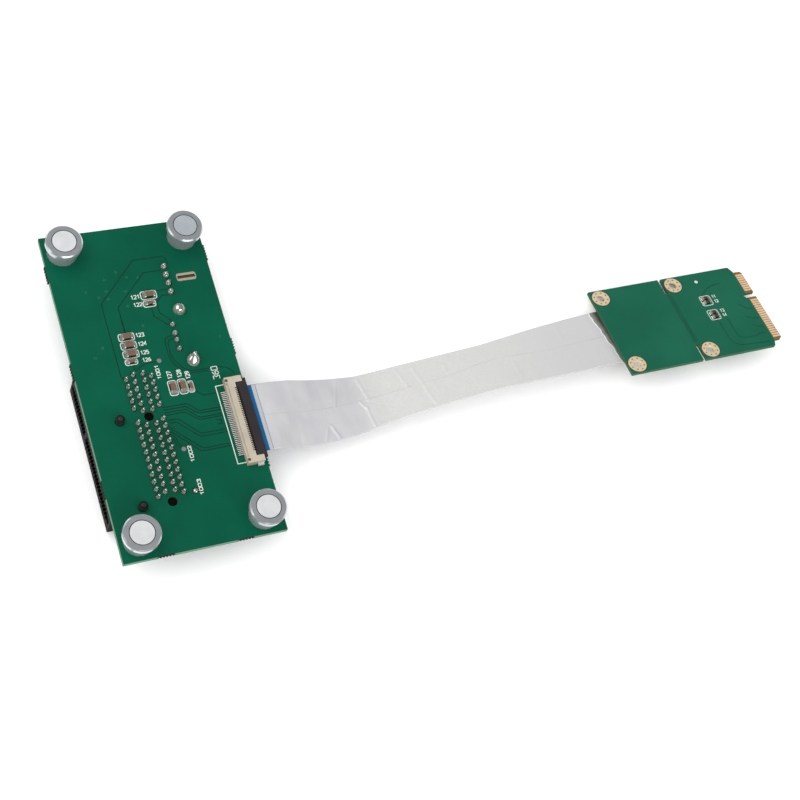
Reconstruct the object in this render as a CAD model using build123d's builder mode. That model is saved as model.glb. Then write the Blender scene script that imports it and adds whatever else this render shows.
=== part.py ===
from build123d import *
from math import atan2, cos, degrees, radians, sin, sqrt, tan
import os

# Main board: x runs to the ribbon, y along the board, z out of the face with the feet
board_length = 90.0
board_width = 42.0
board_thickness = 1.6
hole_clearance = 0.12

# Perforated stubs left on the board's edge where it was broken from its panel
stub_reach = 0.35
stub_length = 4.4
bite_radius = 0.25
bite_pitch = 0.8
bite_count = 5
side_bite_rows = (34.6, 6.6, -25.4)
front_bite_rows = (-10.3, 10.1)

# Pot magnet feet
foot_inset = 5.0
foot_body_radius = 3.9
foot_body_height = 4.2
foot_flange_radius = 4.75
foot_flange_height = 2.0
foot_chamfer = 0.35
magnet_radius = 3.05
magnet_height = 2.0
magnet_groove = 0.15
screw_radius = 1.5
screw_reach = 2.8
screw_head_radius = 2.75
screw_head_height = 1.9
screw_socket = 1.25
screw_socket_depth = 1.0

# Right angle four lane card slot on the hidden face, its mouth flush with the board's edge
pin_pitch = 1.0
pin_one_y = 2.9
pins_before_key = 11
pins_per_side = 32
key_gap = 3.0
key_offset = 11.65
key_width = 1.7
column_inner_step = 2.0
column_middle_step = 2.5
column_one_x = -8.6
tail_width = 0.45
tail_thickness = 0.3
tail_rise = 1.9
slot_length = 39.0
slot_height = 8.5
slot_mouth_x = -20.9
slot_rear_x = -0.2
slot_front_depth = 10.5
slot_gap = 1.9
slot_gap_end = 1.9
slot_lead_in = 0.7
slot_lead_angle = 26
slot_wall = 1.0
groove_width = 0.62
groove_depth = 1.2
contact_thickness = 0.25
contact_crest = 0.85
contact_setback = 1.3
contact_reach = 4.6
peg_radius = 1.1
peg_front_x = -12.9
peg_rear_x = -5.35
peg_spacing = 23.15
peg_rise = 2.0
peg_rounding = 0.5
peg_recess = 0.6
tail_solder_height = 0.7
tail_solder_taper = 20
solder_radius = 0.62
solder_height = 1.0
solder_taper = 26

# USB socket on the hidden face, its mouth over the ribbon edge of the board
usb_y = 11.7
usb_pin_x = 7.0
usb_mouth_x = 21.5
usb_height = 7.25
usb_length = 14.0
usb_opening_width = 12.5
usb_opening_height = 5.12
usb_wall = 0.3
usb_lip_depth = 1.0
usb_pin_offsets = (-3.5, -1.0, 1.0, 3.5)
usb_tongue_width = 11.1
usb_tongue_thickness = 1.84
usb_tongue_offset = 1.0
usb_tongue_setback = 1.2
usb_block_depth = 3.6
usb_block_margin = 0.1
usb_contact_width = 0.9
usb_contact_thickness = 0.25
usb_leg_x = 9.9
usb_leg_offset = 7.35
usb_leg_width = 1.8
usb_leg_rise = 1.9
usb_leg_taper = 3
usb_leg_margin = 0.24
usb_solder_radius = 1.6
usb_solder_height = 1.2
usb_solder_taper = 40

# Four pin power header on the hidden face
power_y = 28.3
power_pitch = 2.5
power_pin_count = 4
power_pin_x = 9.0
power_pin_size = 0.64
power_solder_radius = 0.75
power_solder_height = 1.1
power_length = 12.4
power_height = 5.6
power_rear_x = 7.9
power_mouth_x = 20.7
power_standoff = 0.5
power_wall = 0.9
power_base_depth = 3.4
power_key_width = 3.0
power_key_depth = 4.0
tab_x = 14.2
tab_length = 4.3
tab_thickness = 0.8
tab_slot_length = 5.05
tab_slot_width = 2.0
tab_slot_rounding = 0.35
tab_recess = 0.25

# Flat cable sockets, the same on both boards; x is 0 at the closed latch's edge
way_count = 36
way_pitch = 0.5
socket_offset = 1.05
socket_length = 23.9
socket_height = 2.0
socket_depth = 5.45
socket_bar_edge = 2.9
socket_ear_edge = 0.95
socket_ear_width = 1.65
socket_wall = 0.35
socket_back_wall = 0.7
socket_tail_gap = 0.3
socket_ledge_depth = 0.6
socket_ledge_drop = 0.45
socket_comb_depth = 0.4
socket_comb_width = 0.26
socket_tail_length = 1.35
way_width = 0.2
way_thickness = 0.2
latch_pivot_x = -2.3
latch_pivot_z = 1.5
latch_heel_radius = 0.38
latch_thickness = 0.75
latch_clearance = 0.1
latch_notch = 0.26
latch_wing = 0.75
latch_pin_radius = 0.25
latch_bore_radius = 0.31
latch_pin_length = 0.5
hold_down_width = 1.6
hold_down_length = 1.1
hold_down_thickness = 0.3

# Foil wrapped flat ribbon with a stiffener on each end
ribbon_width = 18.4
ribbon_thickness = 0.35
stiffener_thickness = 0.3
stiffener_reach = 4.2
stiffener_show = 1.0
ribbon_level = 0.9
ribbon_straight = 4.0

# Mini card, x from its back edge to its contact tongue, z out of its bare face
card_length = 50.95
card_width = 30.0
card_thickness = 1.0
card_reach = 127.55
card_y = -9.55
card_roll = 13.1
card_dip = 1.75
card_shoulder_x = 47.5
tongue_width = 25.7
tongue_centre_y = -0.1
tongue_relief = 0.9
tongue_chamfer = 0.5
notch_width = 1.6
notch_y = 3.85
notch_depth = 3.7
finger_pitch = 0.81
finger_width = 0.6
finger_length = 2.4
finger_setback = 0.1
finger_from_notch = 1.97
finger_thickness = 0.05
small_side_fingers = 8
large_side_fingers = 18
card_hole_radius = 1.3
card_pad_radius = 2.65
card_pad_thickness = 0.05
card_hole_rows = (2.9, 27.05)
card_hole_y = 12.1
break_slot_x = 23.7
break_slot_width = 1.0
break_slot_length = 5.8
card_socket_x = 6.1

# Chip capacitors: length, width and height of each size, and the depth of their end caps
large_chip = (2.9, 1.45, 0.95)
small_chip = (2.3, 0.9, 0.8)
tiny_chip = (2.2, 0.95, 0.55)
chip_end = 0.48
chip_end_proud = 0.04
# Chips: size, place and turn of each, on the main board by the circuit they serve, and on the card
power_chips = ((large_chip, 3.15, 24.5, 0), (small_chip, 2.75, 22.05, 0))
supply_chips = (
    (large_chip, -5.5, 13.65, 0),
    (large_chip, -5.5, 11.2, 0),
    (large_chip, -5.5, 8.75, 0),
    (small_chip, -5.95, 6.65, 0),
)
slot_chips = ((large_chip, 2.55, -2.3, 90), (large_chip, 5.1, -2.3, 90), (small_chip, 7.15, -2.75, 90))
card_chip_x = 34.5
card_chip_rows = (5.35, 3.85, -0.05, -1.55)

test_pad_points = ((1.0, 5.75), (0.95, -19.0), (0.95, -30.35))
test_pad_radius = 0.6
test_pad_thickness = 0.06

lean = atan2(slot_height - usb_height, usb_mouth_x - slot_rear_x)
dip = radians(card_dip)
roll = radians(card_roll)
slot_drop = board_thickness + slot_height
left_reach = slot_drop * sin(lean) - slot_mouth_x * cos(lean)
right_reach = card_reach + card_length * cos(dip)
board_x = (left_reach - right_reach) / 2
board_rise = slot_drop * cos(lean) + slot_rear_x * sin(lean)
board = Plane(
    origin=(board_x, 0, board_rise),
    x_dir=(cos(lean), 0, -sin(lean)),
    z_dir=(sin(lean), 0, cos(lean)),
)
card_rise = card_shoulder_x * sin(dip) + card_width / 2 * sin(roll) * cos(dip)
card_rise += card_thickness * cos(dip) * cos(roll)
card = Plane(
    origin=(board_x + card_reach, card_y, card_rise),
    x_dir=(cos(dip), 0, -sin(dip)),
    z_dir=(sin(dip) * cos(roll), sin(roll), cos(dip) * cos(roll)),
)
underside = -board_thickness


def at(base, x=0.0, y=0.0, z=0.0):
    """Plane parallel to base through a point given in base's own x, y and z."""
    return Plane(base.from_local_coords(Vector(x, y, z)), x_dir=base.x_dir, z_dir=base.z_dir)


def side_of(base, y=0.0):
    """Plane across base at its local y, with base's x to the right and its z up."""
    return Plane(base.from_local_coords(Vector(0, y, 0)), x_dir=base.x_dir, z_dir=-base.y_dir)


def front_of(base, x=0.0, y=0.0, z=0.0):
    """Plane facing along base's x, with base's y to the right and its z up."""
    return Plane(base.from_local_coords(Vector(x, y, z)), x_dir=base.y_dir, z_dir=base.x_dir)


def save(part, name):
    part.label = name
    export_step(part, f"parts/{name}.step")


os.makedirs("parts", exist_ok=True)

# Pin rows of the card slot: nearer contacts feed columns 1 and 2, farther ones columns 3 and 4
column_x = [column_one_x]
for step in (column_inner_step, column_middle_step, column_inner_step):
    column_x.append(column_x[-1] + step)


def pin_y(number):
    """Place of a pin along the slot, past the key gap for the pins beyond it."""
    past_key = number > pins_before_key
    steps = (number - 1) * pin_pitch
    return pin_one_y - steps - (key_gap - pin_pitch if past_key else 0.0)


pin_numbers = range(1, pins_per_side + 1)
even_rows = [pin_y(n) for n in pin_numbers if n % 2 == 0]
odd_rows = [pin_y(n) for n in pin_numbers if n % 2 == 1]
column_rows = [even_rows, odd_rows, odd_rows, even_rows]
pin_points = [(x, y) for x, rows in zip(column_x, column_rows) for y in rows]
slot_y = (pin_y(1) + pin_y(pins_per_side)) / 2
key_y = pin_one_y - key_offset
peg_rows = (key_y, key_y - peg_spacing)
slot_middle = underside - slot_height / 2
usb_middle = underside - usb_height / 2
usb_pin_points = [(usb_pin_x, usb_y + offset) for offset in usb_pin_offsets]
power_span = (power_pin_count - 1) * power_pitch
power_rows = [power_y - power_span / 2 + i * power_pitch for i in range(power_pin_count)]
foot_x = board_width / 2 - foot_inset
foot_y = board_length / 2 - foot_inset
foot_points = {
    "left_back": (-foot_x, foot_y),
    "right_back": (foot_x, foot_y),
    "left_front": (-foot_x, -foot_y),
    "right_front": (foot_x, -foot_y),
}

with BuildPart() as main_board:
    with BuildSketch(board):
        Rectangle(board_width, board_length)
        stub_x = board_width / 2 + stub_reach
        with Locations(*[(0, row) for row in side_bite_rows]):
            Rectangle(2 * stub_x, stub_length)
        with Locations(*[(side * stub_x, row) for side in (-1, 1) for row in side_bite_rows]):
            with GridLocations(bite_pitch, bite_pitch, 1, bite_count):
                Circle(bite_radius, mode=Mode.SUBTRACT)
        with Locations(*[(row, -board_length / 2) for row in front_bite_rows]):
            with GridLocations(bite_pitch, bite_pitch, bite_count, 1):
                Circle(bite_radius, mode=Mode.SUBTRACT)
        tail_hole = sqrt(tail_width**2 + tail_thickness**2) / 2 + hole_clearance
        with Locations(*pin_points):
            RegularPolygon(tail_hole, 8, major_radius=False, mode=Mode.SUBTRACT)
        for peg_x in (peg_front_x, peg_rear_x):
            with Locations(*[(peg_x, row) for row in peg_rows]):
                Circle(peg_radius + hole_clearance, mode=Mode.SUBTRACT)
        with Locations(*usb_pin_points):
            Circle(usb_contact_width / 2 + hole_clearance, mode=Mode.SUBTRACT)
        with Locations(*[(usb_leg_x, usb_y + side * usb_leg_offset) for side in (-1, 1)]):
            SlotOverall(usb_leg_width + 2 * usb_leg_margin, usb_wall + 2 * usb_leg_margin, mode=Mode.SUBTRACT)
        with Locations(*[(power_pin_x, row) for row in power_rows]):
            Circle(power_pin_size / sqrt(2) + hole_clearance, mode=Mode.SUBTRACT)
        with Locations((tab_x, power_y)):
            RectangleRounded(tab_slot_length, tab_slot_width, tab_slot_rounding, mode=Mode.SUBTRACT)
        with Locations(*foot_points.values()):
            Circle(screw_radius + hole_clearance, mode=Mode.SUBTRACT)
    extrude(amount=-board_thickness)
save(main_board.part, "main_board")

# Feet: a turned steel pot with its magnet let into the face, screwed on through the board
foot_height = foot_body_height + foot_flange_height
for place, (x, y) in foot_points.items():
    foot = at(board, x, y)
    with BuildPart() as foot_cup:
        with BuildSketch(foot):
            Circle(foot_body_radius)
        extrude(amount=foot_body_height)
        with BuildSketch(foot.offset(foot_body_height)):
            Circle(foot_flange_radius)
        flange = extrude(amount=foot_flange_height)
        rim = flange.edges().filter_by(GeomType.CIRCLE).group_by(SortBy.RADIUS)[-1]
        chamfer(rim, length=foot_chamfer)
        with BuildSketch(foot.offset(foot_height)):
            Circle(magnet_radius + magnet_groove)
        extrude(amount=-magnet_height, mode=Mode.SUBTRACT)
        with BuildSketch(foot):
            Circle(screw_radius)
        extrude(amount=screw_reach, mode=Mode.SUBTRACT)
    save(foot_cup.part, f"foot_cup_{place}")
    with BuildPart() as foot_magnet:
        with BuildSketch(foot.offset(foot_height - magnet_height)):
            Circle(magnet_radius)
        extrude(amount=magnet_height)
    save(foot_magnet.part, f"foot_magnet_{place}")
    with BuildPart() as foot_screw:
        with BuildSketch(foot.offset(underside)):
            Circle(screw_head_radius)
        extrude(amount=-screw_head_height)
        with BuildSketch(foot.offset(underside)):
            Circle(screw_radius)
        extrude(amount=board_thickness + screw_reach)
        with BuildSketch(foot.offset(underside - screw_head_height)):
            RegularPolygon(screw_socket, 6)
        extrude(amount=screw_socket_depth, mode=Mode.SUBTRACT)
    save(foot_screw.part, f"foot_screw_{place}")

# Slot contacts: a sprung blade in the mouth, a long beam to the rear and a tail up through the board
blade_offset = slot_gap / 2 + groove_depth / 2
blade_start = slot_mouth_x + contact_setback
blade_crest = blade_start + contact_reach / 3
blade_end = blade_start + contact_reach
with BuildPart() as slot_contacts:
    for x, rows, toward_gap in zip(column_x, column_rows, (-1, -1, 1, 1)):
        upper = slot_middle - toward_gap * blade_offset + contact_thickness / 2
        lower = upper - contact_thickness
        crest = toward_gap * contact_crest
        tail_near = x - tail_thickness / 2
        tail_far = x + tail_thickness / 2
        with BuildSketch(*[side_of(board, row) for row in rows]):
            with BuildLine():
                Polyline(
                    (blade_start, upper),
                    (blade_crest, upper + crest),
                    (blade_end, upper),
                    (tail_near, upper),
                    (tail_near, tail_rise),
                    (tail_far, tail_rise),
                    (tail_far, lower),
                    (blade_end, lower),
                    (blade_crest, lower + crest),
                    (blade_start, lower),
                    close=True,
                )
            make_face()
        extrude(amount=tail_width / 2, both=True)
save(slot_contacts.part, "slot_contacts")

# Slot housing: a solid nose around the mouth, and a hood behind it that is open towards the board
slot_nose_x = slot_mouth_x + slot_front_depth
pin_centre_y = [pin_y(n) for n in pin_numbers]
short_mouth = (pin_y(1) + slot_gap_end, key_y + key_width / 2)
long_mouth = (key_y - key_width / 2, pin_y(pins_per_side) - slot_gap_end)
with BuildPart() as slot_housing:
    with BuildSketch(board.offset(underside)):
        with Locations(((slot_mouth_x + slot_rear_x) / 2, slot_y)):
            Rectangle(slot_rear_x - slot_mouth_x, slot_length)
    body = extrude(amount=-slot_height)
    lengthways = Axis(board.origin, board.y_dir)
    rear_edges = body.edges().filter_by(lengthways).sort_by(Axis(board.origin, board.x_dir))[-2:]
    chamfer(rear_edges.sort_by(Axis(board.origin, board.z_dir))[0], length=slot_wall / 2)
    with BuildSketch(board.offset(underside)):
        with Locations(((slot_nose_x + slot_rear_x - slot_wall) / 2, slot_y)):
            Rectangle(slot_rear_x - slot_wall - slot_nose_x, slot_length - 2 * slot_wall)
    extrude(amount=slot_wall - slot_height, mode=Mode.SUBTRACT)
    for high, low in (short_mouth, long_mouth):
        with BuildSketch(front_of(board, slot_mouth_x, (high + low) / 2, slot_middle)):
            Rectangle(high - low, slot_gap)
        extrude(amount=slot_front_depth - slot_wall, mode=Mode.SUBTRACT)
        with BuildSketch(front_of(board, slot_mouth_x, (high + low) / 2, slot_middle)):
            Rectangle(high - low + slot_lead_in, slot_gap + slot_lead_in)
        extrude(amount=slot_lead_in, taper=slot_lead_angle, mode=Mode.SUBTRACT)
    with BuildSketch(front_of(board, slot_mouth_x, 0, slot_middle)):
        with Locations(*[(y, side * blade_offset) for y in pin_centre_y for side in (-1, 1)]):
            Rectangle(groove_width, groove_depth)
    extrude(amount=slot_front_depth, mode=Mode.SUBTRACT)
    with BuildSketch(board.offset(underside + board_thickness)):
        with Locations(*[(peg_front_x, row) for row in peg_rows]):
            Circle(peg_radius)
    extrude(amount=-board_thickness)
    with BuildSketch(board):
        with Locations(*[(peg_front_x, row) for row in peg_rows]):
            Circle(peg_radius)
    pegs = extrude(amount=peg_rise)
    tips = pegs.edges().group_by(Axis(board.origin, board.z_dir))[-1]
    fillet(tips, radius=peg_rounding)
    with BuildSketch(board.offset(-peg_recess)):
        with Locations(*[(peg_rear_x, row) for row in peg_rows]):
            Circle(peg_radius)
    extrude(amount=-(slot_drop - peg_recess - slot_wall))
save(slot_housing.part, "slot_housing")

# Solder joints: a cone round each pin of the slot
with BuildPart() as slot_solder:
    with BuildSketch(board):
        with Locations(*pin_points):
            RegularPolygon(solder_radius, 6)
    extrude(amount=tail_solder_height, taper=tail_solder_taper)
    add(slot_contacts.part, mode=Mode.SUBTRACT)
save(slot_solder.part, "slot_solder")

# USB socket: folded shell with a flared mouth, moulded block with a tongue, and four contacts
usb_mouth = front_of(board, usb_mouth_x, usb_y, usb_middle)
usb_shell_width = usb_opening_width + 2 * usb_wall
usb_shell_height = usb_opening_height + 2 * usb_wall
usb_flare = (usb_height - usb_shell_height) / 2
usb_taper = degrees(atan2(usb_flare, usb_lip_depth))
with BuildPart() as usb_shell:
    with BuildSketch(usb_mouth):
        RectangleRounded(usb_shell_width, usb_shell_height, 2 * usb_wall)
        RectangleRounded(usb_opening_width, usb_opening_height, usb_wall, mode=Mode.SUBTRACT)
    extrude(amount=-usb_length)
    with BuildSketch(usb_mouth):
        Rectangle(usb_shell_width + 2 * usb_flare, usb_shell_height + 2 * usb_flare)
    extrude(amount=-usb_lip_depth, taper=usb_taper)
    with BuildSketch(usb_mouth):
        Rectangle(usb_opening_width + 2 * usb_flare, usb_opening_height + 2 * usb_flare)
    extrude(amount=-usb_lip_depth, taper=usb_taper, mode=Mode.SUBTRACT)
    for side in (-1, 1):
        wall_y = usb_y + side * (usb_shell_width / 2 - usb_wall / 2)
        leg_y = usb_y + side * usb_leg_offset
        with BuildSketch(at(board, usb_leg_x, (wall_y + leg_y) / 2, usb_middle)):
            Rectangle(usb_leg_width, abs(leg_y - wall_y) + usb_wall)
        extrude(amount=usb_wall)
        with BuildSketch(at(board, usb_leg_x, leg_y, usb_middle)):
            Rectangle(usb_leg_width, usb_wall)
        extrude(amount=usb_leg_rise - usb_middle, taper=usb_leg_taper)
save(usb_shell.part, "usb_shell")

usb_tongue_face = usb_middle + usb_tongue_offset - usb_tongue_thickness / 2
usb_rear_x = usb_pin_x - usb_contact_thickness - usb_wall
with BuildPart() as usb_contacts:
    with BuildSketch(*[side_of(board, y) for _, y in usb_pin_points]):
        with BuildLine():
            Polyline(
                (usb_mouth_x - 2 * usb_tongue_setback, usb_tongue_face),
                (usb_pin_x + usb_contact_thickness / 2, usb_tongue_face),
                (usb_pin_x + usb_contact_thickness / 2, 0),
                (usb_pin_x - usb_contact_thickness / 2, 0),
                (usb_pin_x - usb_contact_thickness / 2, usb_tongue_face - usb_contact_thickness),
                (usb_mouth_x - 2 * usb_tongue_setback, usb_tongue_face - usb_contact_thickness),
                close=True,
            )
        make_face()
    extrude(amount=usb_contact_width / 2, both=True)
save(usb_contacts.part, "usb_contacts")

usb_block_width = usb_opening_width - 2 * usb_block_margin
usb_block_height = usb_opening_height - 2 * usb_block_margin
with BuildPart() as usb_block:
    with BuildSketch(front_of(board, usb_rear_x, usb_y, usb_middle)):
        Rectangle(usb_block_width, usb_block_height)
    extrude(amount=usb_block_depth)
    rear_depth = usb_mouth_x - usb_length - usb_rear_x
    with BuildSketch(front_of(board, usb_rear_x, usb_y, (usb_middle + underside) / 2)):
        Rectangle(usb_block_width, underside - usb_middle)
    extrude(amount=rear_depth)
    with BuildSketch(front_of(board, usb_rear_x, usb_y, usb_middle + usb_tongue_offset)):
        Rectangle(usb_tongue_width, usb_tongue_thickness)
    extrude(amount=usb_mouth_x - usb_tongue_setback - usb_rear_x)
    add(usb_contacts.part, mode=Mode.SUBTRACT)
save(usb_block.part, "usb_block")

with BuildPart() as usb_solder:
    with BuildSketch(board):
        with Locations(*usb_pin_points):
            RegularPolygon(solder_radius, 6)
    extrude(amount=solder_height, taper=solder_taper)
    for side in (-1, 1):
        with BuildSketch(at(board, usb_leg_x, usb_y + side * usb_leg_offset)):
            Circle(usb_solder_radius)
        extrude(amount=usb_solder_height, taper=usb_solder_taper)
    add(usb_shell.part, mode=Mode.SUBTRACT)
save(usb_solder.part, "usb_solder")

# Power header: shrouded, four square pins and a metal tab that holds it to the board
power_top = underside - power_standoff
power_middle = power_top - power_height / 2
with BuildPart() as power_pins:
    with BuildSketch(*[side_of(board, y) for y in power_rows]):
        with BuildLine():
            Polyline(
                (power_mouth_x - power_key_depth / 2, power_middle + power_pin_size / 2),
                (power_pin_x + power_pin_size / 2, power_middle + power_pin_size / 2),
                (power_pin_x + power_pin_size / 2, 0),
                (power_pin_x - power_pin_size / 2, 0),
                (power_pin_x - power_pin_size / 2, power_middle - power_pin_size / 2),
                (power_mouth_x - power_key_depth / 2, power_middle - power_pin_size / 2),
                close=True,
            )
        make_face()
    extrude(amount=power_pin_size / 2, both=True)
save(power_pins.part, "power_pins")

with BuildPart() as power_hold_down:
    with BuildSketch(at(board, tab_x, power_y, -tab_recess)):
        Rectangle(tab_length, tab_thickness)
    extrude(amount=power_top + tab_recess - power_wall / 2)
save(power_hold_down.part, "power_hold_down")

with BuildPart() as power_header:
    with BuildSketch(front_of(board, power_rear_x, power_y, power_middle)):
        Rectangle(power_length, power_height)
    extrude(amount=power_mouth_x - power_rear_x)
    with BuildSketch(front_of(board, power_rear_x + power_base_depth, power_y, power_middle)):
        Rectangle(power_length - 2 * power_wall, power_height - 2 * power_wall)
    extrude(amount=power_mouth_x - power_rear_x - power_base_depth, mode=Mode.SUBTRACT)
    with BuildSketch(front_of(board, power_mouth_x, power_y, power_middle - power_height / 2)):
        Rectangle(power_key_width, 2 * power_wall)
    extrude(amount=-power_key_depth, mode=Mode.SUBTRACT)
    rest_y = power_length / 2 - power_wall / 2
    with BuildSketch(at(board, power_rear_x + power_wall, power_y, power_top)):
        with Locations((0, -rest_y), (0, rest_y)):
            Rectangle(2 * power_wall, power_wall)
    extrude(amount=power_standoff)
    add(power_pins.part, mode=Mode.SUBTRACT)
    add(power_hold_down.part, mode=Mode.SUBTRACT)
save(power_header.part, "power_header")

with BuildPart() as power_solder:
    with BuildSketch(board):
        with Locations(*[(power_pin_x, row) for row in power_rows]):
            RegularPolygon(power_solder_radius, 6)
    extrude(amount=power_solder_height, taper=solder_taper)
save(power_solder.part, "power_solder")


def make_socket(base, name):
    """Flip latch socket for the flat ribbon, standing on base with its mouth towards base's x."""
    way_rows = [(i - (way_count - 1) / 2) * way_pitch for i in range(way_count)]
    cavity_width = ribbon_width + 2 * latch_clearance
    ear_inner = socket_length / 2 - socket_ear_width
    back_x = -socket_depth
    cavity_x = back_x + socket_back_wall
    with BuildPart() as contacts:
        riser_x = cavity_x + way_thickness
        lower_beam = ribbon_level - stiffener_thickness / 2
        upper_beam = socket_height - socket_wall
        finger_x = latch_pivot_x - latch_heel_radius - latch_clearance
        with BuildSketch(*[side_of(base, y) for y in way_rows]):
            with BuildLine():
                Polyline(
                    (back_x - socket_tail_length, 0),
                    (riser_x + way_thickness, 0),
                    (riser_x + way_thickness, lower_beam - way_thickness),
                    (-socket_ear_edge, lower_beam - way_thickness),
                    (-socket_ear_edge, lower_beam),
                    (riser_x + way_thickness, lower_beam),
                    (riser_x + way_thickness, upper_beam - way_thickness),
                    (finger_x, upper_beam - way_thickness),
                    (finger_x, upper_beam),
                    (riser_x, upper_beam),
                    (riser_x, way_thickness),
                    (back_x - socket_tail_length, way_thickness),
                    close=True,
                )
            make_face()
        extrude(amount=way_width / 2, both=True)
    save(contacts.part, f"{name}_socket_contacts")

    with BuildPart() as housing:
        with BuildSketch(base):
            with Locations(((back_x - socket_bar_edge) / 2, 0)):
                Rectangle(socket_depth - socket_bar_edge, socket_length)
            for side in (-1, 1):
                ear_y = side * (socket_length - socket_ear_width) / 2
                with Locations((-(socket_bar_edge + socket_ear_edge) / 2, ear_y)):
                    Rectangle(socket_bar_edge - socket_ear_edge, socket_ear_width)
        extrude(amount=socket_height)
        with BuildSketch(base):
            with Locations((-(socket_bar_edge + socket_ear_edge) / 2, 0)):
                Rectangle(socket_bar_edge - socket_ear_edge, 2 * ear_inner)
        extrude(amount=socket_wall)
        with BuildSketch(side_of(base)):
            with BuildLine():
                Polyline(
                    (cavity_x, socket_wall),
                    (cavity_x, socket_height - socket_wall),
                    (0, socket_height - socket_wall),
                    (0, socket_wall),
                    close=True,
                )
            make_face()
        extrude(amount=cavity_width / 2, both=True, mode=Mode.SUBTRACT)
        ledge_x = back_x + socket_ledge_depth / 2
        with BuildSketch(at(base, ledge_x, 0, socket_height)):
            Rectangle(socket_ledge_depth, 2 * ear_inner)
        extrude(amount=-socket_ledge_drop, mode=Mode.SUBTRACT)
        with BuildSketch(at(base, -socket_bar_edge - socket_comb_depth / 2, 0, socket_height)):
            with Locations(*[(0, y) for y in way_rows]):
                Rectangle(socket_comb_depth, socket_comb_width)
        extrude(amount=-socket_wall, mode=Mode.SUBTRACT)
        riser_end = riser_x + way_thickness + latch_clearance
        with BuildSketch(*[side_of(base, y) for y in way_rows]):
            with Locations(((back_x + riser_end) / 2, socket_tail_gap / 2)):
                Rectangle(riser_end - back_x, socket_tail_gap)
            with Locations(((cavity_x + riser_end) / 2, socket_wall / 2)):
                Rectangle(riser_end - cavity_x, socket_wall)
        extrude(amount=way_width / 2 + latch_clearance / 2, both=True, mode=Mode.SUBTRACT)
        with BuildSketch(side_of(base)):
            with Locations((latch_pivot_x, latch_pivot_z)):
                Circle(latch_bore_radius)
        extrude(amount=ear_inner + latch_pin_length + latch_clearance, both=True, mode=Mode.SUBTRACT)
        with BuildSketch(at(base, -(socket_bar_edge + socket_ear_edge) / 2, 0, socket_wall)):
            with Locations((0, -socket_length / 2), (0, socket_length / 2)):
                Rectangle(hold_down_width, 2 * hold_down_thickness)
        extrude(amount=hold_down_length, mode=Mode.SUBTRACT)
    save(housing.part, f"{name}_socket_housing")

    with BuildPart() as tabs:
        for side in (-1, 1):
            tab_y = side * (socket_length / 2 - hold_down_thickness / 2)
            with BuildSketch(at(base, -(socket_bar_edge + socket_ear_edge) / 2, tab_y, socket_wall)):
                Rectangle(hold_down_width, hold_down_thickness)
            extrude(amount=hold_down_length)
            foot_end = side * (socket_length / 2 + hold_down_thickness)
            with BuildSketch(at(base, -(socket_bar_edge + socket_ear_edge) / 2, foot_end)):
                Rectangle(hold_down_width, 2 * hold_down_thickness)
            extrude(amount=socket_wall + hold_down_thickness)
    save(tabs.part, f"{name}_socket_tabs")

    with BuildPart() as latch:
        plate_bottom = latch_pivot_z - latch_heel_radius + latch_clearance
        plate_top = plate_bottom + latch_thickness
        with BuildSketch(side_of(base)):
            with Locations((latch_pivot_x, latch_pivot_z)):
                RegularPolygon(latch_heel_radius, 8)
            with Locations((latch_pivot_x / 2, (plate_bottom + plate_top) / 2)):
                Rectangle(-latch_pivot_x, latch_thickness)
        extrude(amount=ear_inner - latch_clearance, both=True)
        with BuildSketch(at(base, -latch_wing / 2, 0, plate_bottom)):
            Rectangle(latch_wing, 2 * ear_inner + socket_ear_width)
        extrude(amount=latch_thickness)
        with BuildSketch(side_of(base)):
            with Locations((latch_pivot_x, latch_pivot_z)):
                Circle(latch_pin_radius)
        extrude(amount=ear_inner + latch_pin_length, both=True)
        notch_depth_x = 2 * latch_heel_radius
        with BuildSketch(at(base, latch_pivot_x - latch_heel_radius, 0, socket_height)):
            with Locations(*[(0, y) for y in way_rows]):
                Rectangle(notch_depth_x, latch_notch)
        extrude(amount=-socket_height, mode=Mode.SUBTRACT)
    save(latch.part, f"{name}_socket_latch")


socket_y = slot_y - socket_offset
board_socket = at(board, board_width / 2, socket_y)
card_socket = Plane(
    card.from_local_coords(Vector(card_socket_x, 0, -card_thickness)),
    x_dir=-card.x_dir,
    z_dir=-card.z_dir,
)
make_socket(board_socket, "board")
make_socket(card_socket, "card")
pivot = board_socket.from_local_coords(Vector(latch_pivot_x, 0, latch_pivot_z))
print("board latch pivot", pivot, "axis", -board_socket.y_dir)
pivot = card_socket.from_local_coords(Vector(latch_pivot_x, 0, latch_pivot_z))
print("card latch pivot", pivot, "axis", -card_socket.y_dir)

# Stiffeners of the ribbon, each pushed into its socket and showing outside it
stiffener_level = ribbon_level - stiffener_thickness / 2
for base, name in ((board_socket, "board"), (card_socket, "card")):
    with BuildPart() as stiffener:
        with BuildSketch(at(base, (stiffener_show - stiffener_reach) / 2, 0, stiffener_level)):
            Rectangle(stiffener_show + stiffener_reach, ribbon_width)
        extrude(amount=stiffener_thickness)
    save(stiffener.part, f"ribbon_stiffener_{name}")

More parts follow.
